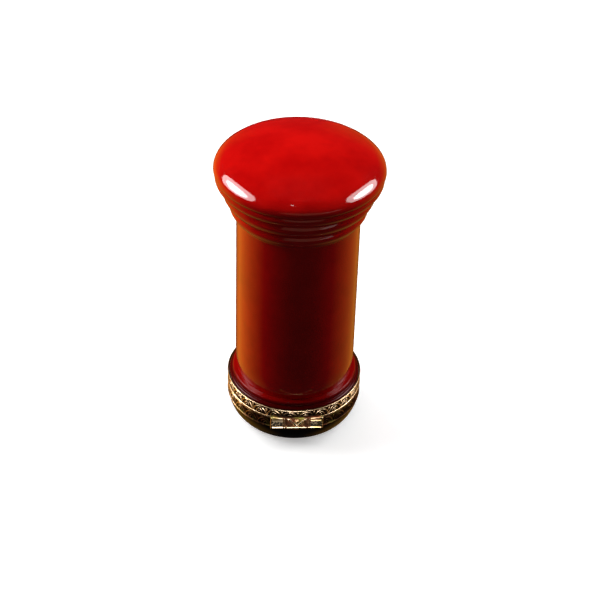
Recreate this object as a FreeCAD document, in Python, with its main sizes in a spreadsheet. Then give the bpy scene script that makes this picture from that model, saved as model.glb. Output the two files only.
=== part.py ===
import FreeCAD, Part
import math
import os
import Sketcher

# Hinged porcelain box in the form of a pillar mailbox. A shallow dish stands on the ground and
# carries the lower brass rim; the whole pillar above it is the lid. The rims meet at the parting
# plane, a barrel hinge joins them at the back (+Y) and a clasp hangs over the joint at the front (-Y).
# Millimetres, +Z up, origin at the middle of the foot.

SIZES = {
    # Dish that stands on the ground.
    "foot_radius": 14.5,
    "foot_ring_width": 2.1,
    "foot_ring_chamfer": 0.3,
    "foot_recess": 0.6,
    "dish_radius": 16.3,
    "dish_curve": 7.4,
    "dish_floor": 2.4,
    "dish_floor_radius": 10.6,
    "dish_mouth_radius": 14.4,
    "dish_bowl_curve": 3.8,
    # Brass rims and the plaster that beds them on the porcelain.
    "rim_bottom": 4.85,
    "rim_height": 2.95,
    "rim_radius": 16.5,
    "rim_band": 0.4,
    "rim_flange": 0.6,
    "rim_inner_radius": 14.7,
    "parting_gap": 0.1,
    "bedding": 0.3,
    "bedding_stop": 0.35,
    "collar_radius": 14.4,
    "collar_wall": 0.4,
    "collar_depth": 1.2,
    "collar_rise": 0.9,
    # Pillar: ledge, foot step and column.
    "lip_gap": 0.05,
    "lip_thickness": 0.45,
    "ledge_radius": 15.25,
    "ledge_rise": 0.45,
    "ledge_curve": 0.9,
    "step_rise": 1.1,
    "step_round": 0.5,
    "waist_radius": 13.95,
    "waist_rise": 1.7,
    "flare_rise": 7.0,
    "flare_curve": 23.7,
    "column_radius": 14.55,
    # Cap: three rolled mouldings under a shallow dome.
    "neck_rise": 47.3,
    "moulding_curve": 4.6,
    "first_groove_radius": 15.75,
    "first_groove_rise": 50.9,
    "second_groove_radius": 17.3,
    "second_groove_rise": 54.9,
    "third_groove_radius": 19.25,
    "third_groove_rise": 58.4,
    "cap_radius": 19.86,
    "cap_rise": 59.3,
    "cap_rounding": 1.5,
    "shoulder_rounding": 2.2,
    "shoulder_radius": 19.22,
    "shoulder_rise": 60.86,
    "crown_rounding": 7.0,
    "crown_radius": 16.89,
    "crown_rise": 62.4,
    "dome_rise": 65.68,
    # Inside of the pillar.
    "seat_wall": 1.1,
    "seat_depth": 1.2,
    "bore_radius": 12.4,
    "bore_start_rise": 1.5,
    "bore_end_rise": 49.5,
    "cavity_radius": 17.3,
    "cavity_rise": 59.0,
    "cavity_edge_rise": 60.4,
    "roof_rise": 63.1,
    # Hinge.
    "hinge_offset": 17.6,
    "barrel_radius": 1.0,
    "bore_fit": 0.03,
    "pin_radius": 0.5,
    "pin_head_radius": 0.8,
    "pin_head": 0.35,
    "lid_knuckle_half": 1.45,
    "knuckle_gap": 0.15,
    "base_knuckle_length": 2.8,
    "web_thickness": 0.45,
    "leaf_setback": 0.5,
    "leaf_gap": 1.25,
    "leaf_height": 1.5,
    "leaf_half_width": 4.8,
    "leaf_root": 2.0,
    # Clasp.
    "clasp_half_width": 6.35,
    "clasp_bottom": 6.5,
    "clasp_height": 3.0,
    "clasp_tip": 0.6,
    "clasp_tip_width": 0.7,
    "clasp_top_curve": 27.0,
    "clasp_back": 17.1,
    "clasp_thickness": 0.7,
    "clasp_recess": 0.25,
    "clasp_border": 0.4,
    "flap_half_width": 2.5,
    "flap_point_half_width": 0.3,
    "seal_radius": 0.55,
    "seal_drop": 0.55,
    "tab_half_width": 5.5,
    "tab_height": 1.2,
    "tab_drop": 0.1,
    "tab_root": 1.8,
    "stud_radius": 0.45,
    "stud_level": 6.95,
}

# Levels and radii that several pieces share, as sums of the sizes above.
PARTING = "rim_bottom + rim_height"
LID_BOTTOM = PARTING + " + parting_gap"
RIM_TOP = LID_BOTTOM + " + rim_height"
BAND_INNER = "rim_radius - rim_band"
SEAT_RADIUS = BAND_INNER + " - bedding"
HINGE_LEVEL = PARTING + " + parting_gap"
AXIS = "axis"

doc = FreeCAD.newDocument("PillarBox")
sheet = doc.addObject("Spreadsheet::Sheet", "Sizes")
for row, (alias, value) in enumerate(SIZES.items(), start=1):
    sheet.set(f"A{row}", alias)
    sheet.set(f"B{row}", str(value))
    sheet.setAlias(f"B{row}", alias)
doc.recompute()


def number(text):
    """Value in millimetres of a sum of sizes, such as 'rim_bottom + rim_height'."""
    total = 0.0
    sign = 1.0
    for word in text.split():
        if word in ("+", "-"):
            sign = 1.0 if word == "+" else -1.0
        elif word != "0":
            total += sign * sheet.get(word)
    return total


def bound(text):
    """The same sum as an expression that reads the sheet."""
    words = []
    for word in text.split():
        words.append(word if word in ("+", "-", "0") else "Sizes." + word)
    return " ".join(words)


def origin_plane(body, role):
    for feature in body.Origin.OriginFeatures:
        if feature.Role == role:
            return feature
    raise ValueError(role)


def hold_point(sketch, edge, end, across, along):
    """Tie an edge's end to two sums of sizes measured from the sketch origin."""
    for kind, text, axis in (("DistanceX", across, -2), ("DistanceY", along, -1)):
        if text == "0":
            sketch.addConstraint(Sketcher.Constraint("PointOnObject", edge, end, axis))
        else:
            rule = Sketcher.Constraint(kind, -1, 1, edge, end, number(text))
            sketch.setExpression(f"Constraints[{sketch.addConstraint(rule)}]", bound(text))


def arc_between(start, end, radius, side):
    """Arc that bulges to the right of the way from start to end for side 1, to the left for -1."""
    chord = end - start
    left = FreeCAD.Vector(-chord.y, chord.x, 0).normalize()
    reach = math.sqrt(radius ** 2 - (chord.Length / 2) ** 2)
    centre = (start + end) * 0.5 + left * (side * reach)
    first, last = (start, end) if side == 1 else (end, start)
    first_angle = math.atan2(first.y - centre.y, first.x - centre.x)
    last_angle = math.atan2(last.y - centre.y, last.x - centre.x)
    if last_angle < first_angle:
        last_angle += 2 * math.pi
    circle = Part.Circle(centre, FreeCAD.Vector(0, 0, 1), radius)
    return Part.ArcOfCircle(circle, first_angle, last_angle)


def domed_radius(start, end):
    """Radius of the arc from start to end whose centre lies on the upright axis."""
    if start.y < end.y:
        edge, crown = start, end
    else:
        edge, crown = end, start
    rise = crown.y - edge.y
    return (edge.x ** 2 + rise ** 2) / (2 * rise)


def closed_outline(body, name, plane, corners, bends=None, offset=None):
    """Sketch of a closed outline: corners are pairs of sums, bends maps an edge to (radius, side).

    A radius of AXIS puts the arc's centre on the upright axis instead.
    """
    bends = bends or {}
    sketch = body.newObject("Sketcher::SketchObject", name)
    sketch.AttachmentSupport = [(origin_plane(body, plane), "")]
    sketch.MapMode = "FlatFace"
    if offset:
        sketch.setExpression("AttachmentOffset.Base.z", bound(offset))
    places = [FreeCAD.Vector(number(across), number(along), 0) for across, along in corners]
    for edge, start in enumerate(places):
        end = places[(edge + 1) % len(places)]
        if edge in bends:
            text, side = bends[edge]
            radius = domed_radius(start, end) if text == AXIS else number(text)
            sketch.addGeometry(arc_between(start, end, radius, side))
        else:
            sketch.addGeometry(Part.LineSegment(start, end))
    # An arc runs counter-clockwise, so one that bulges to the left starts at the outline's far end.
    reversed_edges = [edge in bends and bends[edge][1] == -1 for edge in range(len(places))]
    starts = [2 if backward else 1 for backward in reversed_edges]
    ends = [1 if backward else 2 for backward in reversed_edges]
    for edge in range(len(places)):
        after = (edge + 1) % len(places)
        sketch.addConstraint(Sketcher.Constraint("Coincident", edge, ends[edge], after, starts[after]))
    for edge, (across, along) in enumerate(corners):
        hold_point(sketch, edge, starts[edge], across, along)
    for edge, (text, side) in bends.items():
        if text == AXIS:
            sketch.addConstraint(Sketcher.Constraint("PointOnObject", edge, 3, -2))
        else:
            rule = Sketcher.Constraint("Radius", edge, number(text))
            sketch.setExpression(f"Constraints[{sketch.addConstraint(rule)}]", bound(text))
    return sketch


def turned(label, corners, bends=None):
    """Body turned about Z from the right half of its section."""
    body = doc.addObject("PartDesign::Body", label)
    sketch = closed_outline(body, label + "_section", "XZ_Plane", corners, bends)
    turn = body.newObject("PartDesign::Revolution", label + "_turn")
    turn.Profile = sketch
    turn.ReferenceAxis = (sketch, ["V_Axis"])
    turn.Angle = 360
    return body


def base_dish():
    """Porcelain dish with a foot ring, a rounded side and a seat for the lower rim."""
    top = PARTING + " - rim_flange"
    corners = [
        ("0", "foot_recess"),
        ("foot_radius - foot_ring_width", "foot_recess"),
        ("foot_radius - foot_ring_width", "0"),
        ("foot_radius - foot_ring_chamfer", "0"),
        ("foot_radius", "foot_ring_chamfer"),
        ("dish_radius", "rim_bottom"),
        (SEAT_RADIUS, "rim_bottom"),
        (SEAT_RADIUS, top),
        ("dish_mouth_radius", top),
        ("dish_mouth_radius", "dish_floor + dish_bowl_curve"),
        ("dish_floor_radius", "dish_floor"),
        ("0", "dish_floor"),
    ]
    return turned("base_dish", corners, {4: ("dish_curve", 1), 9: ("dish_bowl_curve", -1)})


def pillar_shell():
    """Porcelain pillar of even wall: ledge, foot step, column and mouldings under a domed cap."""
    def above(rise):
        return RIM_TOP + " + " + rise

    lip_bottom = RIM_TOP + " - bedding_stop"
    lip_radius = BAND_INNER + " - lip_gap"
    seat_bottom = LID_BOTTOM + " + rim_flange"
    outside = [
        (SEAT_RADIUS, seat_bottom),
        (SEAT_RADIUS, lip_bottom),
        (lip_radius, lip_bottom),
        (lip_radius, lip_bottom + " + lip_thickness"),
        ("ledge_radius", above("ledge_rise")),
        ("ledge_radius", above("step_rise")),
        ("ledge_radius - step_round", above("step_rise + step_round")),
        ("waist_radius", above("waist_rise")),
        ("column_radius", above("flare_rise")),
        ("column_radius", above("neck_rise")),
        ("first_groove_radius", above("first_groove_rise")),
        ("second_groove_radius", above("second_groove_rise")),
        ("third_groove_radius", above("third_groove_rise")),
        ("cap_radius", above("cap_rise")),
        ("shoulder_radius", above("shoulder_rise")),
        ("crown_radius", above("crown_rise")),
        ("0", above("dome_rise")),
    ]
    inside = [
        ("0", above("roof_rise")),
        ("cavity_radius", above("cavity_edge_rise")),
        ("cavity_radius", above("cavity_rise")),
        ("bore_radius", above("bore_end_rise")),
        ("bore_radius", above("bore_start_rise")),
        (SEAT_RADIUS + " - seat_wall", seat_bottom + " + seat_depth"),
        (SEAT_RADIUS + " - seat_wall", seat_bottom),
    ]
    bends = {
        3: ("ledge_curve", 1),
        5: ("step_round", 1),
        7: ("flare_curve", 1),
        9: ("moulding_curve", 1),
        10: ("moulding_curve", 1),
        11: ("moulding_curve", 1),
        12: ("cap_rounding", 1),
        13: ("shoulder_rounding", 1),
        14: ("crown_rounding", 1),
        15: (AXIS, 1),
        len(outside): (AXIS, -1),
    }
    return turned("pillar_shell", outside + inside, bends)


def base_rim():
    """Lower brass rim: a band round the dish with a flange over its edge."""
    flange = PARTING + " - rim_flange"
    corners = [
        ("collar_radius", flange),
        (BAND_INNER, flange),
        (BAND_INNER, "rim_bottom"),
        ("rim_radius", "rim_bottom"),
        ("rim_radius", PARTING),
        ("collar_radius", PARTING),
    ]
    return turned("base_rim", corners)


def lid_rim():
    """Upper brass rim: the same section turned over, round the foot of the pillar."""
    flange = LID_BOTTOM + " + rim_flange"
    corners = [
        ("rim_inner_radius", LID_BOTTOM),
        ("rim_radius", LID_BOTTOM),
        ("rim_radius", RIM_TOP),
        (BAND_INNER, RIM_TOP),
        (BAND_INNER, flange),
        ("rim_inner_radius", flange),
    ]
    return turned("lid_rim", corners)


def ring(label, inner, outer, bottom, top):
    """Plain turned ring."""
    return turned(label, [(inner, bottom), (outer, bottom), (outer, top), (inner, top)])


def place(piece, across="0", depth="0", up="0", turn=None):
    """Bind a piece's position, with an optional fixed rotation."""
    piece.Placement = FreeCAD.Placement(FreeCAD.Vector(0, 0, 0), turn or FreeCAD.Rotation())
    for axis, text in zip("xyz", (across, depth, up)):
        piece.setExpression(f"Placement.Base.{axis}", bound(text))
    return piece


def block(name, length, width, height, across, depth, up):
    """Box between bound sizes, from its corner with the lowest coordinates."""
    box = doc.addObject("Part::Box", name)
    box.setExpression("Length", bound(length))
    box.setExpression("Width", bound(width))
    box.setExpression("Height", bound(height))
    return place(box, across, depth, up)


def upright_cylinder(name, radius):
    """Cylinder round Z, taller than any brass piece, used to fit a piece to the rims."""
    cylinder = doc.addObject("Part::Cylinder", name)
    cylinder.setExpression("Radius", bound(radius))
    cylinder.setExpression("Height", bound(RIM_TOP + " + rim_height"))
    return cylinder


def cross_cylinder(name, radius, length, across):
    """Cylinder along X on the hinge axis."""
    cylinder = doc.addObject("Part::Cylinder", name)
    cylinder.setExpression("Radius", bound(radius))
    cylinder.setExpression("Height", bound(length))
    along_x = FreeCAD.Rotation(FreeCAD.Vector(0, 1, 0), 90)
    return place(cylinder, across, "hinge_offset", HINGE_LEVEL, along_x)


def fused(label, pieces):
    joined = doc.addObject("Part::MultiFuse", label)
    joined.Shapes = pieces
    return joined


def cut(label, body, tool):
    result = doc.addObject("Part::Cut", label)
    result.Base = body
    result.Tool = tool
    return result


def fitted_block(label, half_width, root, front, bottom, height):
    """Block that touches a rim: a box from root to front, hollowed to the rim's curve."""
    sides = ("0 - " + half_width, half_width)
    width = half_width + " + " + half_width
    box = block(label + "_block", width, root, height, sides[0], front, bottom)
    return cut(label, box, upright_cylinder(label + "_fit", "rim_radius"))


def knuckle(label, start, length, web_bottom):
    """Hinge knuckle: a drilled barrel with a web that reaches its leaf."""
    barrel = cross_cylinder(label + "_barrel", "barrel_radius", length, start)
    depth = "hinge_offset - leaf_setback - web_thickness"
    web = block(label + "_web", length, "web_thickness", "leaf_gap", start, depth, web_bottom)
    bore = cross_cylinder(label + "_bore", "pin_radius + bore_fit", length, start)
    return cut(label, fused(label + "_solid", [barrel, web]), bore)


def hinge_pin():
    """Plain pin through the three knuckles, peened over at both ends."""
    end = "lid_knuckle_half + knuckle_gap + base_knuckle_length"
    shank = cross_cylinder("pin_shank", "pin_radius", end + " + " + end, "0 - " + end.replace("+", "-"))
    left = cross_cylinder("pin_left_head", "pin_head_radius", "pin_head",
                          "0 - pin_head - " + end.replace("+", "-"))
    right = cross_cylinder("pin_right_head", "pin_head_radius", "pin_head", end)
    return fused("hinge_pin", [shank, left, right])


def clasp_plate():
    """Cast clasp: raised tips at the ends, a dished top edge and a flap between two sunk panels."""
    body = doc.addObject("PartDesign::Body", "clasp_plate")
    left = "0 - clasp_half_width"
    top = "clasp_bottom + clasp_height + clasp_tip"
    outline = [
        (left, "clasp_bottom"),
        ("clasp_half_width", "clasp_bottom"),
        ("clasp_half_width", top),
        ("clasp_half_width - clasp_tip_width", top),
        (left + " + clasp_tip_width", top),
        (left, top),
    ]
    plate = body.newObject("PartDesign::Pad", "clasp_pad")
    plate.Profile = closed_outline(body, "clasp_outline", "XZ_Plane", outline,
                                   {3: ("clasp_top_curve", -1)}, "clasp_back")
    plate.setExpression("Length", "Sizes.clasp_thickness")
    panel = [
        (left + " + clasp_tip_width", "clasp_bottom + clasp_border"),
        ("0 - flap_point_half_width", "clasp_bottom + clasp_border"),
        ("0 - flap_half_width", "clasp_bottom + clasp_height - clasp_border"),
        (left + " + clasp_tip_width", "clasp_bottom + clasp_height - clasp_border"),
    ]
    sunk = body.newObject("PartDesign::Pocket", "clasp_sunk_panel")
    sunk.Profile = closed_outline(body, "clasp_panel", "XZ_Plane", panel, None,
                                  "clasp_back + clasp_thickness")
    sunk.setExpression("Length", "Sizes.clasp_recess")
    pair = body.newObject("PartDesign::Mirrored", "clasp_panel_pair")
    pair.Originals = [sunk]
    pair.MirrorPlane = (origin_plane(body, "YZ_Plane"), [""])
    body.Tip = pair
    return body


def half_ball(label, radius, depth, up):
    """Half ball with its flat side towards the pillar."""
    ball = doc.addObject("Part::Sphere", label)
    ball.setExpression("Radius", bound(radius))
    ball.Angle3 = 180
    return place(ball, "0", depth, up, FreeCAD.Rotation(FreeCAD.Vector(0, 0, 1), 180))


def catch_stud():
    """Small stud on the lower rim that the clasp springs over."""
    ball = doc.addObject("Part::Sphere", "stud_ball")
    ball.setExpression("Radius", "Sizes.stud_radius")
    place(ball, "0", "0 - rim_radius", "stud_level")
    return cut("catch_stud", ball, upright_cylinder("stud_fit", "rim_radius"))


def build():
    """All the pieces, in the order in which they go together."""
    end = "lid_knuckle_half + knuckle_gap"
    leaf_front = "hinge_offset - leaf_setback - leaf_root"
    tab_bottom = "clasp_bottom + clasp_height - tab_drop - tab_height"
    front = "0 - clasp_back - clasp_thickness"
    return [
        base_dish(),
        ring("base_bedding", SEAT_RADIUS, BAND_INNER, "rim_bottom", PARTING + " - rim_flange"),
        base_rim(),
        ring("base_collar", "collar_radius - collar_wall", "collar_radius",
             PARTING + " - collar_depth", PARTING + " + collar_rise"),
        fitted_block("base_hinge_leaf", "leaf_half_width", "leaf_root", leaf_front,
                     HINGE_LEVEL + " - leaf_gap - leaf_height", "leaf_height"),
        knuckle("base_knuckle_left", "0 - base_knuckle_length - lid_knuckle_half - knuckle_gap",
                "base_knuckle_length", HINGE_LEVEL + " - leaf_gap"),
        knuckle("base_knuckle_right", end, "base_knuckle_length", HINGE_LEVEL + " - leaf_gap"),
        hinge_pin(),
        catch_stud(),
        pillar_shell(),
        ring("lid_bedding", SEAT_RADIUS, BAND_INNER, LID_BOTTOM + " + rim_flange",
             RIM_TOP + " - bedding_stop"),
        lid_rim(),
        fitted_block("lid_hinge_leaf", "leaf_half_width", "leaf_root", leaf_front,
                     HINGE_LEVEL + " + leaf_gap", "leaf_height"),
        knuckle("lid_knuckle", "0 - lid_knuckle_half", "lid_knuckle_half + lid_knuckle_half",
                HINGE_LEVEL),
        fitted_block("clasp_tab", "tab_half_width", "tab_root", "0 - clasp_back", tab_bottom,
                     "tab_height"),
        clasp_plate(),
        half_ball("clasp_seal", "seal_radius", front, "clasp_bottom + clasp_height - seal_drop"),
    ]


def check(pieces):
    """Stop on any feature that failed and on any piece that isn't one sound solid."""
    for feature in doc.Objects:
        if "Invalid" in feature.State or "Error" in feature.State:
            raise RuntimeError(f"{feature.Label}: {feature.State}")
    for piece in pieces:
        if piece.Shape.isNull() or not piece.Shape.isValid() or len(piece.Shape.Solids) != 1:
            raise RuntimeError(f"{piece.Label}: not one sound solid")


def main():
    pieces = build()
    doc.recompute()
    check(pieces)
    os.makedirs("parts", exist_ok=True)
    for piece in pieces:
        piece.Shape.exportStep(os.path.join("parts", piece.Label + ".step"))


main()
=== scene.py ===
import math

import bmesh
import bpy
import numpy as np
from mathutils import Matrix, Vector, noise


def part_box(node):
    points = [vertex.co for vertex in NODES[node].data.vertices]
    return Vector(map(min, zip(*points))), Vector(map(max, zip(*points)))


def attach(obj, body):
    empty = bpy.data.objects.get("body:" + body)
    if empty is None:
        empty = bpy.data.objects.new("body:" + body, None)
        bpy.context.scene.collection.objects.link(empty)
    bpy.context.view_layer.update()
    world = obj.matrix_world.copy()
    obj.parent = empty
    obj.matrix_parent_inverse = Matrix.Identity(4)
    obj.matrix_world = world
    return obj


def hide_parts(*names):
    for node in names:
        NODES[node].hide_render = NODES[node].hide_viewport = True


# Looks of the pillar mailbox keepsake box: turned porcelain, relief on the brass rims, the cast clasp,
# every material, and the stage. Metres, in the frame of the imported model: +Z up, clasp at -Y, hinge at +Y.

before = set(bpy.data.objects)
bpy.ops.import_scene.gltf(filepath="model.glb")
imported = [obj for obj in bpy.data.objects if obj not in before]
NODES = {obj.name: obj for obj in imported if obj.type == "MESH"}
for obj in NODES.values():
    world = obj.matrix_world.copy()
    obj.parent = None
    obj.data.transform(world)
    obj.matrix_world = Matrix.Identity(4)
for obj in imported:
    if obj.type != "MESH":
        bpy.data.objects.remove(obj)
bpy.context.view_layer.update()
MM = 0.001

RIM_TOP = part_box("lid_rim")[1].z
BASE_RIM_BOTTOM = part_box("base_rim")[0].z
CAP_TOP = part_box("pillar_shell")[1].z
PORCELAIN_SEGMENTS = 256
RIM_SEGMENTS = 312


# ---------------------------------------------------------------- meshes

def new_piece(name, vertices, faces, body, materials, smooth=True):
    """Mesh object that rides on a body and takes its finish from a material slot of the record."""
    mesh = bpy.data.meshes.new(name)
    mesh.from_pydata([tuple(vertex) for vertex in vertices], [], faces)
    for material in materials:
        mesh.materials.append(material)
    if smooth:
        mesh.shade_smooth()
    mesh.update()
    piece = bpy.data.objects.new(name, mesh)
    bpy.context.scene.collection.objects.link(piece)
    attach(piece, body)
    return piece


def section(node):
    """The (radius, height) points of a turned CAD node along its outline, and if it is a ring."""
    mesh = bmesh.new()
    mesh.from_mesh(NODES[node].data)
    bmesh.ops.remove_doubles(mesh, verts=mesh.verts, dist=1e-6)
    everything = mesh.verts[:] + mesh.edges[:] + mesh.faces[:]
    cut = bmesh.ops.bisect_plane(mesh, geom=everything, dist=1e-7,
                                 plane_co=(0, 0, 0), plane_no=(0, 1, 0))
    neighbours = {}
    places = {}
    for edge in cut["geom_cut"]:
        if not isinstance(edge, bmesh.types.BMEdge):
            continue
        first, second = edge.verts
        if min(first.co.x, second.co.x) < -1e-6:
            continue
        neighbours.setdefault(first, set()).add(second)
        neighbours.setdefault(second, set()).add(first)
        places[first] = (max(first.co.x, 0.0), first.co.z)
        places[second] = (max(second.co.x, 0.0), second.co.z)
    ends = [vertex for vertex, near in neighbours.items() if len(near) == 1]
    order = [max(ends or neighbours, key=lambda vertex: places[vertex][1])]
    seen = set(order)
    while True:
        ahead = [vertex for vertex in neighbours[order[-1]] if vertex not in seen]
        if not ahead:
            break
        nearest = max(ahead, key=lambda vertex: places[vertex][0])
        order.append(nearest)
        seen.add(nearest)
    points = np.array([places[vertex] for vertex in order])
    mesh.free()
    return points, not ends


# Heights of the grooves that bound the mouldings under the cap, from the foot of the lowest one up.
# Only the pillar's outer wall is wider than MOULDING_WALL at those heights.
GROOVES = [RIM_TOP + rise * MM for rise in (47.3, 50.9, 54.9, 58.4)]
MOULDING_WALL = 13.5 * MM
MOULDING_SWELL = 0.48 * MM
MOULDING_LEAN = 1.6


def swell_mouldings(points):
    """Round out each moulding past its CAD arc, fullest above its middle, to roll into its groove."""
    swollen = points.copy()
    for low, high in zip(GROOVES, GROOVES[1:]):
        share = (points[:, 1] - low) / (high - low)
        inside = (share > 0) & (share < 1) & (points[:, 0] > MOULDING_WALL)
        swollen[inside, 0] += MOULDING_SWELL * np.sin(math.pi * share[inside] ** MOULDING_LEAN)
    return swollen


def soften(points, ring, radius, step=0.04 * MM):
    """The outline with its corners rounded, as glaze rounds them, and as few points as it needs."""
    if ring:
        points = np.vstack([points, points[:1]])
    lengths = np.hypot(*np.diff(points, axis=0).T)
    along = np.concatenate([[0], np.cumsum(lengths)])
    count = int(along[-1] / step)
    even = np.linspace(0, along[-1], count)
    dense = np.stack([np.interp(even, along, points[:, axis]) for axis in (0, 1)], axis=1)
    dense = swell_mouldings(dense)
    reach = max(1, int(2.5 * radius / step))
    weights = np.exp(-0.5 * (np.arange(-reach, reach + 1) * step / radius) ** 2)
    weights /= weights.sum()
    if ring:
        padded = np.vstack([dense[-reach - 1:-1], dense, dense[1:reach + 1]])
    else:
        # Past an end on the axis the outline goes on as its own mirror image.
        mirror = np.array([-1, 1])
        padded = np.vstack([dense[reach:0:-1] * mirror, dense, dense[-2:-reach - 2:-1] * mirror])
    smooth = np.stack([np.convolve(padded[:, axis], weights, "valid") for axis in (0, 1)], axis=1)
    heading = np.unwrap(np.arctan2(*np.diff(smooth, axis=0).T[::-1]))
    kept = [0]
    for index in range(1, len(smooth) - 1):
        turned = abs(heading[index] - heading[kept[-1]])
        if turned > math.radians(5) or (index - kept[-1]) * step > 1.5 * MM:
            kept.append(index)
    if not ring:
        kept.append(len(smooth) - 1)
        smooth[kept[0], 0] = 0
        smooth[kept[-1], 0] = 0
    return smooth[kept]


def turn(outline, ring, segments, unevenness=None):
    """Vertices, faces and each face's outline index, of an outline turned about Z."""
    vertices = []
    rows = []
    for radius, height in outline:
        if radius < 1e-7:
            rows.append([len(vertices)] * segments)
            vertices.append(Vector((0, 0, height)))
            continue
        rows.append(list(range(len(vertices), len(vertices) + segments)))
        for step in range(segments):
            angle = 2 * math.pi * step / segments
            place = Vector((radius * math.cos(angle), radius * math.sin(angle), height))
            vertices.append(place)
    if unevenness:
        vertices = [unevenness(vertex) for vertex in vertices]
    faces = []
    stations = []
    for index in range(len(rows) if ring else len(rows) - 1):
        upper, lower = rows[index], rows[(index + 1) % len(rows)]
        for step in range(segments):
            after = (step + 1) % segments
            corners = [upper[step], lower[step], lower[after], upper[after]]
            face = [corner for place, corner in enumerate(corners) if corner != corners[place - 1]]
            faces.append(face)
            stations.append(index)
    return vertices, faces, stations


def hand_cast(vertex):
    """Slight unevenness of slip-cast porcelain, always towards the inside of the box."""
    broad = noise.noise(vertex * 55)
    fine = noise.noise(vertex * 210 + Vector((7, 3, 1)))
    inwards = (0.030 * (1 + broad) + 0.006 * (1 + fine)) * MM
    radial = Vector((vertex.x, vertex.y, 0))
    if radial.length < 1e-6:
        return vertex
    scale = (radial.length - inwards) / radial.length
    return Vector((vertex.x * scale, vertex.y * scale, vertex.z))


# ---------------------------------------------------------------- materials

class Nodes:
    """A node tree, and short ways to add nodes to it."""

    def __init__(self, tree):
        self.nodes = tree.nodes
        self.links = tree.links

    def add(self, kind, **settings):
        node = self.nodes.new(kind)
        for key, value in settings.items():
            setattr(node, key, value)
        return node

    def link(self, start, end):
        self.links.new(start, end)
        return self

    def ramp(self, factor, *stops):
        """Colour ramp of (position, colour) stops."""
        node = self.add("ShaderNodeValToRGB")
        elements = node.color_ramp.elements
        while len(elements) < len(stops):
            elements.new(0.5)
        for element, (position, colour) in zip(elements, stops):
            element.position = position
            element.color = (*colour, 1)
        self.link(factor, node.inputs["Fac"])
        return node.outputs["Color"]

    def spread(self, value, low, high, new_low=0.0, new_high=1.0):
        """Value remapped from low..high to new_low..new_high, and held there."""
        node = self.add("ShaderNodeMapRange", clamp=True)
        for key, number in (("From Min", low), ("From Max", high),
                            ("To Min", new_low), ("To Max", new_high)):
            node.inputs[key].default_value = number
        self.link(value, node.inputs["Value"])
        return node.outputs["Result"]

    def math(self, operation, first, second):
        node = self.add("ShaderNodeMath", operation=operation)
        for socket, value in zip(node.inputs, (first, second)):
            if isinstance(value, (int, float)):
                socket.default_value = value
            else:
                self.link(value, socket)
        return node.outputs["Value"]

    def mix(self, factor, first, second):
        node = self.add("ShaderNodeMix", data_type="RGBA")
        self.link(factor, node.inputs["Factor"])
        for socket, value in ((node.inputs[6], first), (node.inputs[7], second)):
            if isinstance(value, tuple):
                socket.default_value = (*value, 1)
            else:
                self.link(value, socket)
        return node.outputs[2]


class Shader(Nodes):
    """A node material with a principled shader."""

    def __init__(self, name):
        self.material = bpy.data.materials.new(name)
        self.material.use_nodes = True
        super().__init__(self.material.node_tree)
        self.principled = self.nodes["Principled BSDF"]
        self.place = self.add("ShaderNodeTexCoord").outputs["Object"]

    def constant(self, **values):
        """Set sockets of the principled shader, given as words joined with underscores."""
        for key, value in values.items():
            self.principled.inputs[key.replace("_", " ")].default_value = value
        return self

    def noise(self, size, detail=3.0, roughness=0.5, place=None, stretch=None):
        """Noise whose features are about size metres."""
        place = place or self.place
        if stretch:
            mapping = self.add("ShaderNodeMapping")
            mapping.inputs["Scale"].default_value = stretch
            self.link(place, mapping.inputs["Vector"])
            place = mapping.outputs["Vector"]
        node = self.add("ShaderNodeTexNoise")
        node.inputs["Scale"].default_value = 1 / size
        node.inputs["Detail"].default_value = detail
        node.inputs["Roughness"].default_value = roughness
        self.link(place, node.inputs["Vector"])
        return node.outputs["Fac"]

    def height(self):
        """Height of the point in the piece."""
        split = self.add("ShaderNodeSeparateXYZ")
        self.link(self.place, split.inputs["Vector"])
        return split.outputs["Z"]

    def attribute(self, name):
        return self.add("ShaderNodeAttribute", attribute_name=name).outputs["Fac"]

    def bump(self, value, depth):
        """Fine relief of the given depth in metres."""
        node = self.add("ShaderNodeBump")
        node.inputs["Distance"].default_value = depth
        self.link(value, node.inputs["Height"])
        self.link(node.outputs["Normal"], self.principled.inputs["Normal"])
        return self


def glaze(name, pale, deep, roughness=0.05):
    """Glossy glaze: slow drifts of colour, patches of slightly rougher shine and a faint uneven skin."""
    shader = Shader(name)
    drift = shader.noise(9 * MM, 2)
    cloud = shader.noise(2.2 * MM, 4, 0.6)
    tone = shader.math("ADD", shader.math("MULTIPLY", drift, 0.7), shader.math("MULTIPLY", cloud, 0.3))
    colour = shader.ramp(tone, (0.36, deep), (0.62, pale))
    shader.link(colour, shader.principled.inputs["Base Color"])
    shine = shader.spread(shader.noise(1.6 * MM, 3), 0.35, 0.7, roughness, roughness * 1.8)
    shader.link(shine, shader.principled.inputs["Roughness"])
    shader.constant(IOR=1.52, Coat_Weight=0.35, Coat_Roughness=0.02, Coat_IOR=1.5)
    shader.bump(shader.noise(2.8 * MM, 2), 0.012 * MM)
    return shader


RED_PALE = (0.60, 0.003, 0.002)
RED_DEEP = (0.48, 0.001, 0.001)
# Painted shade on the foot: the step and ledge darken towards the rim; the ledge also has the box's own dark
# paint.
LEDGE_PAINT_AND_SHADE = (0.08, 0.001, 0.001)
FOOT_PAINTED_SHADE = (0.16, 0.002, 0.004)
FOOT_SHADED_RED = (0.30, 0.002, 0.001)
FOOT_TOP = RIM_TOP + 1.9 * MM
BLACK_PALE = (0.012, 0.004, 0.004)
BLACK_DEEP = (0.004, 0.002, 0.002)


def red_glaze():
    return glaze("red_glaze", RED_PALE, RED_DEEP).material


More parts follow.
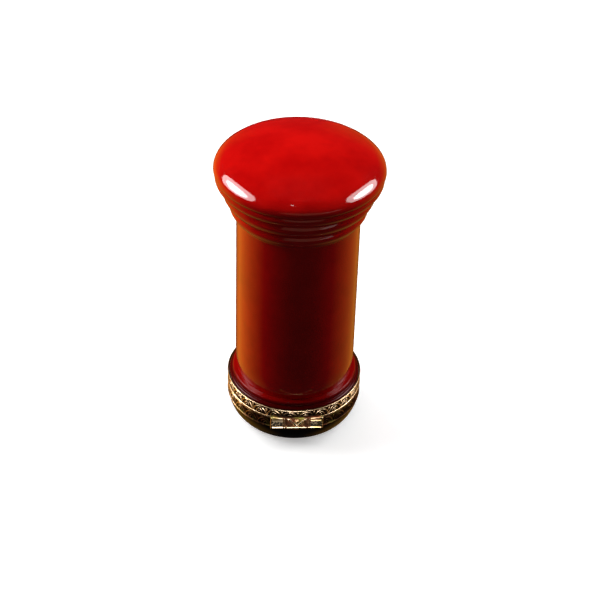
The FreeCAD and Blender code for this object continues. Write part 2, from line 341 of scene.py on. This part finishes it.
def shaded_foot_glaze():
    """Glaze of the foot, darkened towards the rim by painted shade: deep red on the step, nearly black on
    the ledge, where it deepens the ledge's own dark paint.
    """
    shader = glaze("shaded_foot_glaze", RED_PALE, RED_DEEP, 0.10)
    wobble = shader.spread(shader.noise(4 * MM, 2), 0.3, 0.7, -0.08 * MM, 0.08 * MM)
    level = shader.math("ADD", shader.height(), wobble)
    # Painted shade: this share rises from the ledge up to FOOT_TOP, above which the foot is not darkened.
    clear = shader.spread(level, RIM_TOP + 0.2 * MM, FOOT_TOP)
    colour = shader.ramp(clear, (0.10, LEDGE_PAINT_AND_SHADE), (0.45, FOOT_PAINTED_SHADE), (0.95, FOOT_SHADED_RED))
    shader.link(colour, shader.principled.inputs["Base Color"])
    shader.constant(IOR=1.20, Coat_Weight=0.0)
    return shader.material


def black_glaze():
    shader = glaze("black_glaze", BLACK_PALE, BLACK_DEEP, 0.12)
    shader.constant(IOR=1.30, Coat_Weight=0.0)
    return shader.material


def white_glaze():
    return glaze("white_glaze", (0.86, 0.84, 0.80), (0.78, 0.76, 0.71), 0.07).material


def bisque():
    """Bare fired porcelain: matt, off-white and slightly grainy."""
    shader = Shader("bisque")
    grain = shader.noise(0.35 * MM, 5, 0.7)
    stain = shader.noise(6 * MM, 3)
    tone = shader.math("ADD", shader.math("MULTIPLY", grain, 0.4), shader.math("MULTIPLY", stain, 0.6))
    colour = shader.ramp(tone, (0.35, (0.60, 0.55, 0.47)), (0.65, (0.80, 0.77, 0.70)))
    shader.link(colour, shader.principled.inputs["Base Color"])
    shader.constant(Roughness=0.75)
    shader.bump(grain, 0.02 * MM)
    return shader.material


def plaster():
    """Bedding plaster: chalky, with small pores."""
    shader = Shader("plaster")
    pores = shader.noise(0.2 * MM, 6, 0.7)
    colour = shader.ramp(pores, (0.35, (0.52, 0.49, 0.43)), (0.6, (0.76, 0.73, 0.66)))
    shader.link(colour, shader.principled.inputs["Base Color"])
    shader.constant(Roughness=0.9)
    shader.bump(pores, 0.03 * MM)
    return shader.material


BRASS_BRIGHT = (0.90, 0.68, 0.44)
BRASS_WARM = (0.66, 0.40, 0.19)
BRASS_BROWN = (0.16, 0.065, 0.030)
BRASS_BLACK = (0.016, 0.007, 0.004)
OLIVE_STAIN = (0.36, 0.31, 0.07)
RUST_STAIN = (0.24, 0.06, 0.03)


def stained(shader, colour, amount):
    """Olive and reddish stains over a brass colour, in soft patches."""
    olive = shader.spread(shader.noise(3.1 * MM, 2), 0.52, 0.66, 0.0, amount)
    rust = shader.spread(shader.noise(2.3 * MM, 3, stretch=(1.0, 1.0, 1.6)), 0.55, 0.66, 0.0, amount)
    return shader.mix(rust, shader.mix(olive, colour, OLIVE_STAIN), RUST_STAIN)


def polished_brass():
    """Handled brass: bright, with brown tarnish in drifts and fine rubbing marks."""
    shader = Shader("polished_brass")
    tarnish = shader.noise(1.5 * MM, 5, 0.65)
    colour = shader.ramp(tarnish, (0.33, BRASS_BROWN), (0.46, BRASS_WARM), (0.62, BRASS_BRIGHT))
    shader.link(stained(shader, colour, 0.4), shader.principled.inputs["Base Color"])
    shine = shader.spread(tarnish, 0.35, 0.65, 0.42, 0.16)
    shader.link(shine, shader.principled.inputs["Roughness"])
    shader.constant(Metallic=1.0)
    rubbed = shader.noise(0.25 * MM, 4, 0.6, stretch=(0.4, 0.4, 2.0))
    shader.bump(rubbed, 0.01 * MM)
    return shader.material


def shaded_tab_brass():
    """Nearly black brass of the clasp tab: painted shade under the lid rim, with brown coming through in
    patches.
    """
    shader = Shader("shaded_tab_brass")
    worn = shader.noise(0.9 * MM, 5, 0.6)
    colour = shader.ramp(worn, (0.40, BRASS_BLACK), (0.60, (0.06, 0.028, 0.014)), (0.75, BRASS_BROWN))
    shader.link(colour, shader.principled.inputs["Base Color"])
    shader.link(shader.spread(worn, 0.4, 0.7, 0.6, 0.4), shader.principled.inputs["Roughness"])
    shader.constant(Metallic=1.0)
    shader.bump(shader.noise(0.2 * MM, 4), 0.015 * MM)
    return shader.material


# Painted light: along X from the first of these places to the second, the colour brightens towards the left.
LEFT_LIGHT_STARTS, LEFT_LIGHT_FULL = -11 * MM, -16 * MM


def relief_brass(name, wear_and_shade_shift, stains, left_painted_light=0.0):
    """Brass of the castings: bright on the raised lines, black in the ground; painted light brightens the
    left side, and a low shift darkens all of it as painted shade.
    """
    shader = Shader(name)
    split = shader.add("ShaderNodeSeparateXYZ")
    shader.link(shader.place, split.inputs["Vector"])
    # Painted light on the left side, added to how high the relief stands.
    painted_left_light = shader.spread(split.outputs["X"], LEFT_LIGHT_STARTS, LEFT_LIGHT_FULL, 0.0, left_painted_light)
    raised = shader.math("ADD", shader.attribute("raised"), painted_left_light)
    patches = shader.noise(1.1 * MM, 4, 0.6)
    # The shift moves the whole colour up or down: wear, and for a low shift painted shade.
    patchy = shader.spread(patches, 0.3, 0.7, wear_and_shade_shift - 0.14, wear_and_shade_shift + 0.14)
    wear_and_shade = shader.math("ADD", raised, patchy)
    colour = shader.ramp(wear_and_shade, (0.16, BRASS_BLACK), (0.42, BRASS_BROWN), (0.62, BRASS_WARM),
                         (0.84, BRASS_BRIGHT))
    shader.link(stained(shader, colour, stains), shader.principled.inputs["Base Color"])
    shine = shader.spread(wear_and_shade, 0.2, 0.9, 0.55, 0.24)
    shader.link(shine, shader.principled.inputs["Roughness"])
    shader.constant(Metallic=1.0)
    shader.bump(shader.noise(0.12 * MM, 3), 0.012 * MM)
    return shader.material


MATERIALS = {
    "red": red_glaze(),
    "foot": shaded_foot_glaze(),
    "black": black_glaze(),
    "white": white_glaze(),
    "bisque": bisque(),
    "plaster": plaster(),
    "brass": polished_brass(),
    # Painted shade: the clasp tab's brass under the lid rim.
    "tab_painted_shade": shaded_tab_brass(),
    "bright_relief": relief_brass("bright_relief", 0.04, 0.15),
    # The base rim's relief brass: painted shade darkens all of it, and painted light brightens its left
    # side.
    "relief_painted_shade": relief_brass("relief_painted_shade", -0.52, 0.35, left_painted_light=0.62),
    "clasp_relief": relief_brass("clasp_relief", 0.05, 0.75),
}


# ---------------------------------------------------------------- porcelain

def turned_porcelain(name, node, body, zones, softness):
    """A porcelain casting from its CAD section. zones maps a (radius, height) to a material's name."""
    points, ring = section(node)
    outline = soften(points, ring, softness)
    vertices, faces, stations = turn(outline, ring, PORCELAIN_SEGMENTS, hand_cast)
    names, picks = [], []
    for index in range(len(outline)):
        after = (index + 1) % len(outline)
        name_here = zones(outline, index, (outline[index] + outline[after]) / 2)
        if name_here not in names:
            names.append(name_here)
        picks.append(names.index(name_here))
    piece = new_piece(name, vertices, faces, body, [MATERIALS[key] for key in names])
    piece.data.polygons.foreach_set("material_index", [picks[station] for station in stations])
    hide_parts(node)


FOOT_RING_BARE = 0.25 * MM


def pillar_zone(outline, index, middle):
    """Red outside down to the lip over the rim, bare in the seat, white inside."""
    lowest = int(np.argmin(outline[:, 1] - 0.01 * outline[:, 0]))
    if index >= lowest:
        return "white"
    if middle[1] > FOOT_TOP:
        return "red"
    return "foot" if middle[1] > RIM_TOP - 0.1 * MM else "bisque"


def dish_zone(outline, index, middle):
    """Black outside, bare under the rim and on the foot ring, white in the bowl."""
    height = middle[1]
    top = int(np.argmax(outline[:, 1] + 0.01 * outline[:, 0]))
    if height < FOOT_RING_BARE:
        return "bisque"
    if index < top:
        return "white"
    return "bisque" if height > BASE_RIM_BOTTOM + 0.02 * MM else "black"


turned_porcelain("pillar_porcelain", "pillar_shell", "lid", pillar_zone, 0.13 * MM)
turned_porcelain("dish_porcelain", "base_dish", "base", dish_zone, 0.09 * MM)


# ---------------------------------------------------------------- chased brass rims

REPEATS = 26
PITCH = 2 * math.pi / REPEATS
GROUND_DEPTH = 0.26 * MM
EDGE_BEAD = 0.16 * MM


def stroke(points, count):
    """Smooth line through given (along, up, width) points, as count even samples."""
    points = [Vector(point) for point in points]
    padded = [points[0] * 2 - points[1], *points, points[-1] * 2 - points[-2]]
    samples = []
    for index in range(count + 1):
        at = index / count * (len(points) - 1)
        span = min(int(at), len(points) - 2)
        share = at - span
        before, start, end, after = padded[span:span + 4]
        samples.append(0.5 * (2 * start + (end - before) * share
                              + (2 * before - 5 * start + 4 * end - after) * share ** 2
                              + (3 * start - before - 3 * end + after) * share ** 3))
    return samples


# One repeat of the border, in shares of the pitch along and of the ground's height up; widths in mm.
ARCH = [(0.03, 0.00, 0.26), (0.10, 0.34, 0.32), (0.26, 0.70, 0.36), (0.50, 0.84, 0.38),
        (0.74, 0.70, 0.36), (0.90, 0.34, 0.32), (0.97, 0.00, 0.26)]
INNER_ARCH = [(0.26, 0.04, 0.14), (0.33, 0.34, 0.22), (0.48, 0.52, 0.26), (0.63, 0.40, 0.22),
              (0.68, 0.16, 0.14)]
LEAF = [(0.40, 0.03, 0.12), (0.47, 0.20, 0.30), (0.55, 0.32, 0.10)]
DART = [(0.0, 0.40, 0.12), (0.0, 0.62, 0.30), (0.0, 0.86, 0.14)]
STROKES = ((ARCH, 22), (INNER_ARCH, 12), (LEAF, 6), (DART, 6))
BEAD_UP = 0.80
BEAD_WIDTH = 0.46


class Band:
    """The outer face of one rim, on which the relief is laid."""

    def __init__(self, low, high):
        self.bottom = low.z + 2 * EDGE_BEAD
        self.rise = high.z - low.z - 4 * EDGE_BEAD
        self.ground = high.x - GROUND_DEPTH

    def place(self, along, up, out):
        """Point at a share of the way round and up, at a height above the ground."""
        angle = along * PITCH - math.pi / 2
        radius = self.ground + out
        return Vector((radius * math.cos(angle), radius * math.sin(angle), self.bottom + up * self.rise))


def add_stroke(band, shift, samples, vertices, faces, raised):
    """Half-round raised line that follows the samples, thin at its ends."""
    around = 6
    pitch_length = band.ground * PITCH
    previous = None
    for index, sample in enumerate(samples):
        ahead = samples[min(index + 1, len(samples) - 1)]
        behind = samples[max(index - 1, 0)]
        run = (ahead.x - behind.x) * pitch_length
        climb = (ahead.y - behind.y) * band.rise
        length = math.hypot(run, climb) or 1
        side_along = -climb / length / pitch_length
        side_up = run / length / band.rise
        half = sample.z * MM / 2
        row = []
        for step in range(around + 1):
            angle = math.pi * step / around
            across = half * math.cos(angle)
            out = min(half * 1.1, GROUND_DEPTH * 0.92) * math.sin(angle) - 0.02 * MM
            row.append(len(vertices))
            vertices.append(band.place(sample.x + shift + side_along * across,
                                       sample.y + side_up * across, out))
            raised.append(0.35 + 0.65 * math.sin(angle))
        if previous:
            for step in range(around):
                faces.append([previous[step], previous[step + 1], row[step + 1], row[step]])
        previous = row


def add_bead(band, along, up, width, vertices, faces, raised):
    """Round bead standing on the ground."""
    rings, around = 4, 12
    half = width * MM / 2
    pitch_length = band.ground * PITCH
    crown = len(vertices)
    vertices.append(band.place(along, up, min(half, GROUND_DEPTH * 0.95)))
    raised.append(1.0)
    previous = None
    for ring in range(1, rings + 1):
        tilt = math.pi / 2 * ring / rings
        row = []
        for step in range(around):
            angle = 2 * math.pi * step / around
            reach = half * math.sin(tilt)
            row.append(len(vertices))
            vertices.append(band.place(along + reach * math.cos(angle) / pitch_length,
                                       up + reach * math.sin(angle) / band.rise,
                                       min(half, GROUND_DEPTH * 0.95) * math.cos(tilt) - 0.01 * MM))
            raised.append(1.0 - 0.6 * ring / rings)
        for step in range(around):
            after = (step + 1) % around
            if previous:
                faces.append([previous[step], row[step], row[after], previous[after]])
            else:
                faces.append([crown, row[step], row[after]])
        previous = row


def mark_raised(piece, raised):
    """Store how high each vertex stands, for the material to wear it bright."""
    attribute = piece.data.attributes.new("raised", "FLOAT", "POINT")
    attribute.data.foreach_set("value", raised)


def rim_band(name, node, body, material):
    """The rim's own L section with rounded edge beads and a sunk ground between them."""
    low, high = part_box(node)
    points = section(node)[0]
    inner = [tuple(point) for point in points if point[0] < high.x - 1e-6]
    sunk = high.x - GROUND_DEPTH
    outer = []
    for start in (high.z, low.z + 2 * EDGE_BEAD):
        for step in range(9):
            angle = math.pi * step / 8
            outer.append((high.x - EDGE_BEAD + EDGE_BEAD * math.sin(angle),
                          start - EDGE_BEAD + EDGE_BEAD * math.cos(angle)))
        if start == high.z:
            outer.append((sunk, start - 2 * EDGE_BEAD))
            outer.append((sunk, low.z + 2 * EDGE_BEAD))
    first = min(range(len(inner)), key=lambda index: (inner[index][1], -inner[index][0]))
    inner = inner[first:] + inner[:first]
    outline = np.array(outer + inner)
    vertices, faces = turn(outline, True, RIM_SEGMENTS)[:2]
    piece = new_piece(name, vertices, faces, body, [MATERIALS[material]])
    piece.data.set_sharp_from_angle(angle=math.radians(50))
    raised = []
    for vertex in vertices:
        stands = (math.hypot(vertex.x, vertex.y) - sunk) / GROUND_DEPTH
        raised.append(min(1.0, max(0.0, stands)))
    mark_raised(piece, raised)
    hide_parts(node)


def rim_relief(name, node, body, phase, material):
    """Arches, leaves, darts and beads repeated round the rim, each a little different."""
    band = Band(*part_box(node))
    vertices, faces, raised = [], [], []
    for repeat in range(REPEATS):
        for points, count in STROKES:
            chosen = []
            for index, (along, up, width) in enumerate(points):
                seed = Vector((repeat * 3.7, index * 1.9, len(points) + phase))
                drift = noise.noise_vector(seed) * 0.035
                level = min(1.0, max(0.0, up + drift.y))
                chosen.append((along + drift.x, level, width * (1 + drift.z * 3)))
            add_stroke(band, repeat + phase, stroke(chosen, count), vertices, faces, raised)
        wander = noise.noise_vector(Vector((repeat * 2.3, 5.1, phase))) * 0.03
        add_bead(band, repeat + phase + wander.x, BEAD_UP + wander.y, BEAD_WIDTH, vertices, faces, raised)
    piece = new_piece(name, vertices, faces, body, [MATERIALS[material]])
    mark_raised(piece, raised)


rim_band("lid_rim_band", "lid_rim", "lid", "bright_relief")
rim_relief("lid_rim_relief", "lid_rim", "lid", 0.1, "bright_relief")
# The base rim's band and relief take the brass with painted shade and painted light.
rim_band("base_rim_band", "base_rim", "base", "relief_painted_shade")
rim_relief("base_rim_relief", "base_rim", "base", 0.45, "relief_painted_shade")


# ---------------------------------------------------------------- clasp

def step_up(value, edge, width):
    """0 below edge, 1 above it, smooth over width."""
    share = min(1.0, max(0.0, (value - edge) / width + 0.5))
    return share * share * (3 - 2 * share)


def ridge(distance, half_width):
    """Rounded ridge: 1 on its line, 0 from half_width away."""
    share = min(1.0, abs(distance) / half_width)
    return math.sqrt(max(0.0, 1 - share * share))


def clasp_relief(across, up, half, rise):
    """Height of the clasp's face, 0 in the ground to 1, at a place in mm. The right panel has a slot."""
    end_width, foot_rise, blur = 0.45, 0.36, 0.15
    flap_half, flap_point, roll, moat = 2.6, 0.10, 0.40, 0.80
    strap_at, strap_half, panel_starts = 3.0, 0.17, 3.3
    side = abs(across)
    ends = step_up(side, half - end_width, blur)
    foot = 0.95 * (1 - step_up(up, foot_rise, blur))
    flap_edge = flap_point + (rise + 0.1 - flap_point) * side / flap_half
    flap = 0.0
    if side < flap_half:
        flap = ridge((up - flap_edge) * 0.74 - roll, roll)
    if math.hypot(across, up - rise + 0.55) < moat:
        flap = min(flap, 0.15)
    strap = 0.85 * ridge(side - strap_at, strap_half)
    panel = 0.16 + 0.10 * math.sin(across * 4.2 + up * 1.7)
    if side > panel_starts:
        panel = 0.62 + 0.16 * ridge(up - 0.5 * rise + 0.1, 0.90)
    if across > panel_starts:
        panel -= 0.45 * ridge(up - rise + 0.38, 0.15)
    return max(ends, foot, flap, strap, panel, 0.05)


def clasp_face():
    """The cast clasp plate: a fine grid raised by the relief, closed round its edge to the back."""
    low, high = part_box("clasp_plate")
    half = high.x / MM
    tip, tip_width = 0.6, 0.7
    rise = (high.z - low.z) / MM - tip
    columns, rows = 170, 44
    ground = low.y + 0.30 * MM
    depth = ground - low.y
    vertices, raised = [], []
    for column in range(columns + 1):
        across = -half + 2 * half * column / columns
        inner = half - tip_width
        sag = tip * (1 - min(1.0, abs(across) / inner) ** 2)
        top = rise + tip - sag
        for row in range(rows + 1):
            up = top * row / rows
            level = clasp_relief(across, up, half, rise)
            edge = min(half - abs(across), up, top - up)
            level *= min(1.0, 0.35 + 0.65 * edge / 0.12)
            vertices.append(Vector((across * MM, ground - depth * level, low.z + up * MM)))
            raised.append(0.15 + 0.85 * level)
    faces = []
    for column in range(columns):
        for row in range(rows):
            start = column * (rows + 1) + row
            faces.append([start, start + rows + 1, start + rows + 2, start + 1])
    border = [column * (rows + 1) for column in range(columns + 1)]
    border += [columns * (rows + 1) + row for row in range(1, rows + 1)]
    border += [column * (rows + 1) + rows for column in range(columns - 1, -1, -1)]
    border += [row for row in range(rows - 1, 0, -1)]
    # The back edge stands low in raised, so the walls round the plate darken towards the back: painted shade
    # on its top face under the lid rim.
    back = len(vertices)
    for index in border:
        vertices.append(Vector((vertices[index].x, high.y, vertices[index].z)))
        raised.append(0.05)
    for step in range(len(border)):
        after = (step + 1) % len(border)
        faces.append([border[step], back + step, back + after, border[after]])
    faces.append([back + step for step in range(len(border))])
    piece = new_piece("clasp_casting", vertices, faces, "lid", [MATERIALS["clasp_relief"]])
    piece.data.set_sharp_from_angle(angle=math.radians(60))
    mark_raised(piece, raised)
    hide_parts("clasp_plate")


clasp_face()


# ---------------------------------------------------------------- small CAD pieces

def finish_cad(node, material, bevel):
    """Give a CAD node its material and small worn edges."""
    piece = NODES[node]
    for index in range(max(1, len(piece.data.materials))):
        if index < len(piece.data.materials):
            piece.data.materials[index] = material
        else:
            piece.data.materials.append(material)
    piece.data.shade_smooth()
    piece.data.set_sharp_from_angle(angle=math.radians(35))
    weld = piece.modifiers.new("weld", "WELD")
    weld.merge_threshold = 1e-6
    if bevel:
        worn = piece.modifiers.new("worn_edges", "BEVEL")
        worn.width = bevel
        worn.segments = 2
        worn.limit_method = "ANGLE"
        worn.angle_limit = math.radians(35)
        worn.harden_normals = True


BRASS_BEVELS = {
    "base_hinge_leaf": 0.08,
    "lid_hinge_leaf": 0.08,
    "base_knuckle_left": 0.05,
    "base_knuckle_right": 0.05,
    "lid_knuckle": 0.05,
    "hinge_pin": 0.06,
    "base_collar": 0.05,
    "catch_stud": 0.0,
    "clasp_tab": 0.06,
    "clasp_seal": 0.0,
}
for node, bevel in BRASS_BEVELS.items():
    # The clasp tab takes the brass with painted shade.
    finish_cad(node, MATERIALS["tab_painted_shade" if node == "clasp_tab" else "brass"], bevel * MM)
for node in ("base_bedding", "lid_bedding"):
    finish_cad(node, MATERIALS["plaster"], 0.0)


# ---------------------------------------------------------------- stage

def stage_floor():
    """Wide pale floor. It takes the light, and doesn't throw it back up at the box."""
    bpy.ops.mesh.primitive_plane_add(size=4)
    floor = bpy.context.object
    floor.name = "studio_floor"
    shader = Shader("studio_floor")
    paper = shader.noise(30 * MM, 3)
    colour = shader.ramp(paper, (0.3, (0.90, 0.90, 0.90)), (0.7, (0.93, 0.93, 0.93)))
    shader.link(colour, shader.principled.inputs["Base Color"])
    shader.constant(Roughness=0.9, Emission_Color=(1, 1, 1, 1), Emission_Strength=0.4)
    floor.data.materials.append(shader.material)
    floor.visible_diffuse = False
    floor.visible_glossy = False


def stage_world(backdrop, dim, glow):
    """Pale backdrop. Lit and mirrored surroundings are dim, with a warm glow low behind both sides."""
    world = bpy.data.worlds.new("studio")
    bpy.context.scene.world = world
    world.use_nodes = True
    world.node_tree.nodes.clear()
    tree = Nodes(world.node_tree)
    way = tree.add("ShaderNodeSeparateXYZ")
    tree.link(tree.add("ShaderNodeTexCoord").outputs["Generated"], way.inputs["Vector"])
    behind = tree.spread(way.outputs["Y"], -0.32, 0.58)
    low = tree.spread(way.outputs["Z"], 0.30, -0.10)
    aside = tree.spread(tree.math("ABSOLUTE", way.outputs["X"], 0), 0.12, 0.50)
    left = tree.spread(way.outputs["X"], -0.8, 0.8, 1.0, 0.45)
    share = tree.math("MULTIPLY", tree.math("MULTIPLY", behind, low), tree.math("MULTIPLY", aside, left))
    lit = tree.add("ShaderNodeBackground")
    tree.link(tree.mix(share, (dim, dim, dim), glow), lit.inputs["Color"])
    seen = tree.add("ShaderNodeBackground")
    seen.inputs["Color"].default_value = (backdrop, backdrop, backdrop, 1)
    chosen = tree.add("ShaderNodeMixShader")
    tree.link(tree.add("ShaderNodeLightPath").outputs["Is Camera Ray"], chosen.inputs[0])
    tree.link(lit.outputs[0], chosen.inputs[1])
    tree.link(seen.outputs[0], chosen.inputs[2])
    tree.link(chosen.outputs[0], tree.add("ShaderNodeOutputWorld").inputs["Surface"])


def softbox(name, azimuth, elevation, distance, width, height, power, colour=(1, 1, 1)):
    """Rectangular lamp aimed at the middle of the box. Azimuth 0 is behind the camera."""
    data = bpy.data.lights.new(name, "AREA")
    data.shape = "RECTANGLE"
    data.size = width
    data.size_y = height
    data.energy = power
    data.color = colour
    lamp = bpy.data.objects.new(name, data)
    bpy.context.scene.collection.objects.link(lamp)
    turn_by, lift = math.radians(azimuth), math.radians(elevation)
    aim = Vector((0, 0, CAP_TOP / 2))
    way = Vector((math.sin(turn_by) * math.cos(lift), -math.cos(turn_by) * math.cos(lift), math.sin(lift)))
    lamp.location = aim + way * distance
    lamp.rotation_euler = (-way).to_track_quat("-Z", "Y").to_euler()
    lamp.visible_camera = False
    return lamp


def diffuse_only(lamp):
    """Keep a lamp out of the gloss."""
    lamp.visible_glossy = False


def gleam(name, azimuth, elevation, distance, width, height, power, tilt=0, colour=(1, 1, 1)):
    """Oval lamp that shows in the gloss alone, tilted in its own plane by some degrees."""
    lamp = softbox(name, azimuth, elevation, distance, width, height, power, colour)
    lamp.data.shape = "ELLIPSE"
    lamp.rotation_euler.rotate_axis("Z", math.radians(tilt))
    lamp.visible_diffuse = False


# All brass but the base rim, which stays dark in front.
FRONT_BRASS = [*BRASS_BEVELS, "lid_rim_band", "lid_rim_relief", "clasp_casting"]


def light_only(lamp, names):
    """Let a lamp reach these pieces alone."""
    lit = bpy.data.collections.new(lamp.name + "_reaches")
    for name in names:
        lit.objects.link(NODES[name] if name in NODES else bpy.data.objects[name])
    lamp.light_linking.receiver_collection = lit


def stage_camera():
    """Long lens looking down at the front of the box, from a little to its left."""
    azimuth, pitch, roll = math.radians(-3.4), math.radians(37.95), math.radians(1.8)
    aside = math.radians(0.165)
    data = bpy.data.cameras.new("camera")
    data.sensor_width = 36
    data.lens = 104.2
    camera = bpy.data.objects.new("camera", data)
    bpy.context.scene.collection.objects.link(camera)
    reach, level = 330 * MM, RIM_TOP + 278.6 * MM
    place = Matrix.Translation((reach * math.sin(azimuth), -reach * math.cos(azimuth), level))
    look = Matrix.Rotation(azimuth - aside, 4, "Z") @ Matrix.Rotation(math.pi / 2 - pitch, 4, "X")
    camera.matrix_world = place @ look @ Matrix.Rotation(roll, 4, "Z")
    bpy.context.scene.camera = camera


REACH = 0.60
CORE_REACH = 0.58  # nearer than the oval lamp behind it, so that the gloss meets it first
LEFT_TILT, RIGHT_TILT = 27, -30
AMBER, ROSE = (1.0, 0.45, 0.28), (1.0, 0.75, 0.70)

stage_floor()
stage_world(backdrop=1.0, dim=0.015, glow=(0.96, 0.44, 0.04))

# Lamps: name, azimuth and elevation in degrees, distance, width, height, watts, then tilt and colour.
diffuse_only(softbox("softbox_left", -116, 29, REACH, 0.50, 0.34, 5.1))
diffuse_only(softbox("softbox_right", 116, 29, REACH, 0.46, 0.32, 3.1))
gleam("gleam_left", -104, 39, REACH, 0.52, 0.36, 3.0, LEFT_TILT)
gleam("core_left", -104, 39, CORE_REACH, 0.32, 0.15, 1.7, LEFT_TILT)
gleam("gleam_right", 100, 38, REACH, 0.47, 0.34, 2.2, RIGHT_TILT)
gleam("core_right", 100, 38, CORE_REACH, 0.29, 0.14, 1.4, RIGHT_TILT)
gleam("gleam_front", 4, 14, REACH, 0.70, 0.24, 0.14, 0, AMBER)
gleam("glint", 38, 13, CORE_REACH, 0.26, 0.05, 0.03, 0, ROSE)
diffuse_only(softbox("top_light", 180, 78, REACH, 0.30, 0.30, 1.2))
diffuse_only(softbox("front_fill", 0, 16, REACH, 0.30, 0.30, 0.17))
softbox("spark", -19, 72, REACH, 0.02, 0.02, 0.012)
light_only(softbox("brass_front", 0, 14, REACH, 0.50, 0.24, 3.0), FRONT_BRASS)
light_only(softbox("clasp_low", 0, -20, 0.1, 0.08, 0.025, 0.035), ["clasp_casting"])
stage_camera()
bpy.context.scene.view_settings.view_transform = "Standard"
